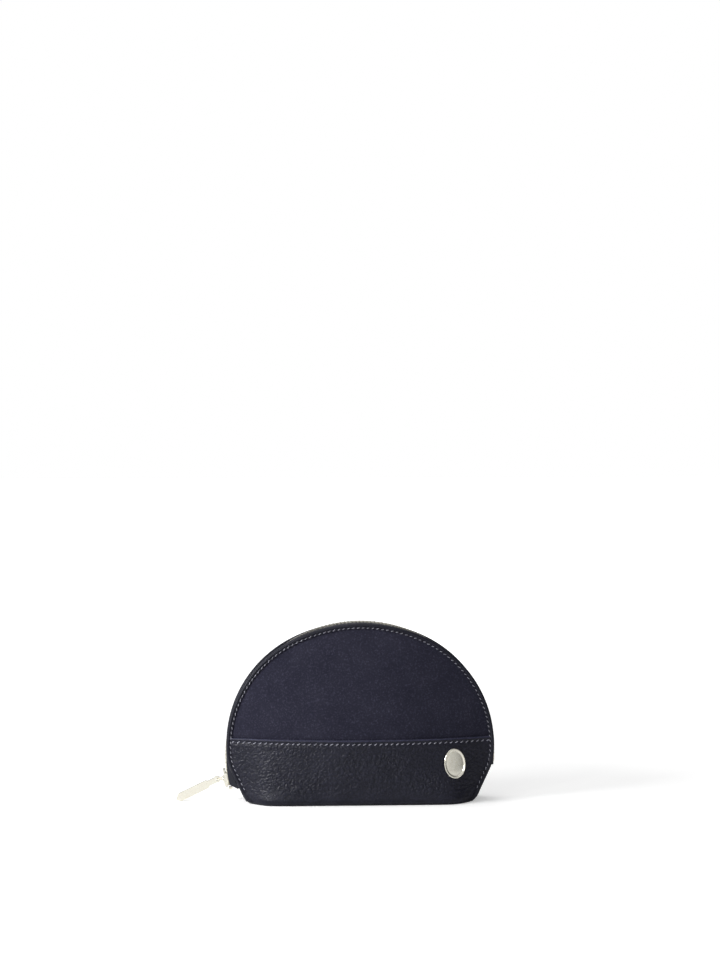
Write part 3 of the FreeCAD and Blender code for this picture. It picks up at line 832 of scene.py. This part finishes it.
# ---- studio ----
def make_floor():
    """White floor that keeps the object's shadow: far off, the camera sees it as plain white."""
    mesh = bpy.data.meshes.new("floor")
    size = 6.0
    corners = [(-size, -size, 0), (size, -size, 0), (size, size, 0), (-size, size, 0)]
    mesh.from_pydata(corners, [], [(0, 1, 2, 3)])
    floor = bpy.data.objects.new("floor", mesh)
    bpy.context.scene.collection.objects.link(floor)
    mat, tree, shader = material("studio_floor")
    shader.inputs["Base Color"].default_value = (0.82, 0.82, 0.82, 1)
    shader.inputs["Roughness"].default_value = 0.6
    shader.inputs["Specular IOR Level"].default_value = 0.1
    glow = tree.nodes.new("ShaderNodeEmission")
    path = tree.nodes.new("ShaderNodeLightPath")
    place = tree.nodes.new("ShaderNodeNewGeometry")
    away = tree.nodes.new("ShaderNodeVectorMath")
    away.operation = "LENGTH"
    tree.links.new(place.outputs["Position"], away.inputs[0])
    far = range_of(tree, away.outputs["Value"], 0.42, 1.0, start=0.2, end=0.9)
    seen = tree.nodes.new("ShaderNodeMath")
    seen.operation = "MULTIPLY"
    tree.links.new(far, seen.inputs[1])
    tree.links.new(path.outputs["Is Camera Ray"], seen.inputs[0])
    tree.links.new(seen.outputs[0], glow.inputs["Strength"])
    total = tree.nodes.new("ShaderNodeAddShader")
    output = next(n for n in tree.nodes if n.type == "OUTPUT_MATERIAL")
    tree.links.new(shader.outputs[0], total.inputs[0])
    tree.links.new(glow.outputs[0], total.inputs[1])
    tree.links.new(total.outputs[0], output.inputs[0])
    mesh.materials.append(mat)


def make_world():
    """White to the camera. Other rays meet a fill, stronger on the left and, for reflections, in front."""
    world = bpy.data.worlds.new("studio")
    bpy.context.scene.world = world
    world.use_nodes = True
    tree = world.node_tree
    tree.nodes.clear()
    coords = tree.nodes.new("ShaderNodeTexCoord")
    split = tree.nodes.new("ShaderNodeSeparateXYZ")
    tree.links.new(coords.outputs["Generated"], split.inputs[0])
    level = range_of(tree, split.outputs["X"], 0.02, 0.7, start=1.0, end=-1.0)
    front = range_of(tree, split.outputs["Y"], 0.0, 0.45, start=-0.3, end=-1.0)
    path = tree.nodes.new("ShaderNodeLightPath")
    strength = tree.nodes.new("ShaderNodeMath")
    strength.operation = "MULTIPLY_ADD"
    tree.links.new(front, strength.inputs[0])
    tree.links.new(path.outputs["Is Glossy Ray"], strength.inputs[1])
    tree.links.new(level, strength.inputs[2])
    fill = tree.nodes.new("ShaderNodeBackground")
    fill.inputs["Color"].default_value = (1, 1, 1, 1)
    tree.links.new(strength.outputs["Value"], fill.inputs["Strength"])
    white = tree.nodes.new("ShaderNodeBackground")
    white.inputs["Color"].default_value = (1, 1, 1, 1)
    mixed = tree.nodes.new("ShaderNodeMixShader")
    output = tree.nodes.new("ShaderNodeOutputWorld")
    tree.links.new(path.outputs["Is Camera Ray"], mixed.inputs[0])
    tree.links.new(fill.outputs[0], mixed.inputs[1])
    tree.links.new(white.outputs[0], mixed.inputs[2])
    tree.links.new(mixed.outputs[0], output.inputs[0])


def lamp(name, place, aim, size, watts):
    """Square area lamp."""
    data = bpy.data.lights.new(name, "AREA")
    data.shape = "SQUARE"
    data.size = size
    data.energy = watts
    obj = bpy.data.objects.new(name, data)
    bpy.context.scene.collection.objects.link(obj)
    obj.location = place
    obj.rotation_euler = (Vector(aim) - Vector(place)).to_track_quat("-Z", "Y").to_euler()


def make_camera():
    """Portrait camera, a little to the left and just above the pouch."""
    aim = Vector((0, 0, 0.2050))
    distance = 1.447
    elevation = math.radians(2.0)
    azimuth = math.radians(-3.0)
    level = math.cos(elevation)
    offset = Vector((math.sin(azimuth) * level, -math.cos(azimuth) * level, math.sin(elevation)))
    data = bpy.data.cameras.new("camera")
    data.lens = 85
    data.sensor_width = 36
    camera = bpy.data.objects.new("camera", data)
    bpy.context.scene.collection.objects.link(camera)
    camera.location = aim + offset * distance
    camera.rotation_euler = (aim - camera.location).to_track_quat("-Z", "Y").to_euler()
    bpy.context.scene.camera = camera


make_bands()
make_panels()
make_bindings()
make_seam_stitches()
make_arc_stitches()
make_zip()
make_badge()
make_base()
make_floor()
make_world()
lamp("key", (-0.52, -0.26, 0.34), (0, 0, 0.05), 0.22, 3.1)
lamp("glint", (-0.55, -0.75, 0.40), (0, 0, 0.02), 0.06, 1.0)
lamp("glint_middle", (-0.34, -0.86, 0.36), (0, 0, 0.02), 0.05, 0.55)
lamp("fill", (1.6, -1.2, 0.9), (0, 0, 0.05), 1.4, 0.4)
lamp("top", (-0.3, 0.4, 1.8), (0, 0, 0), 1.4, 10)
make_camera()
bpy.context.scene.view_settings.view_transform = "Standard"
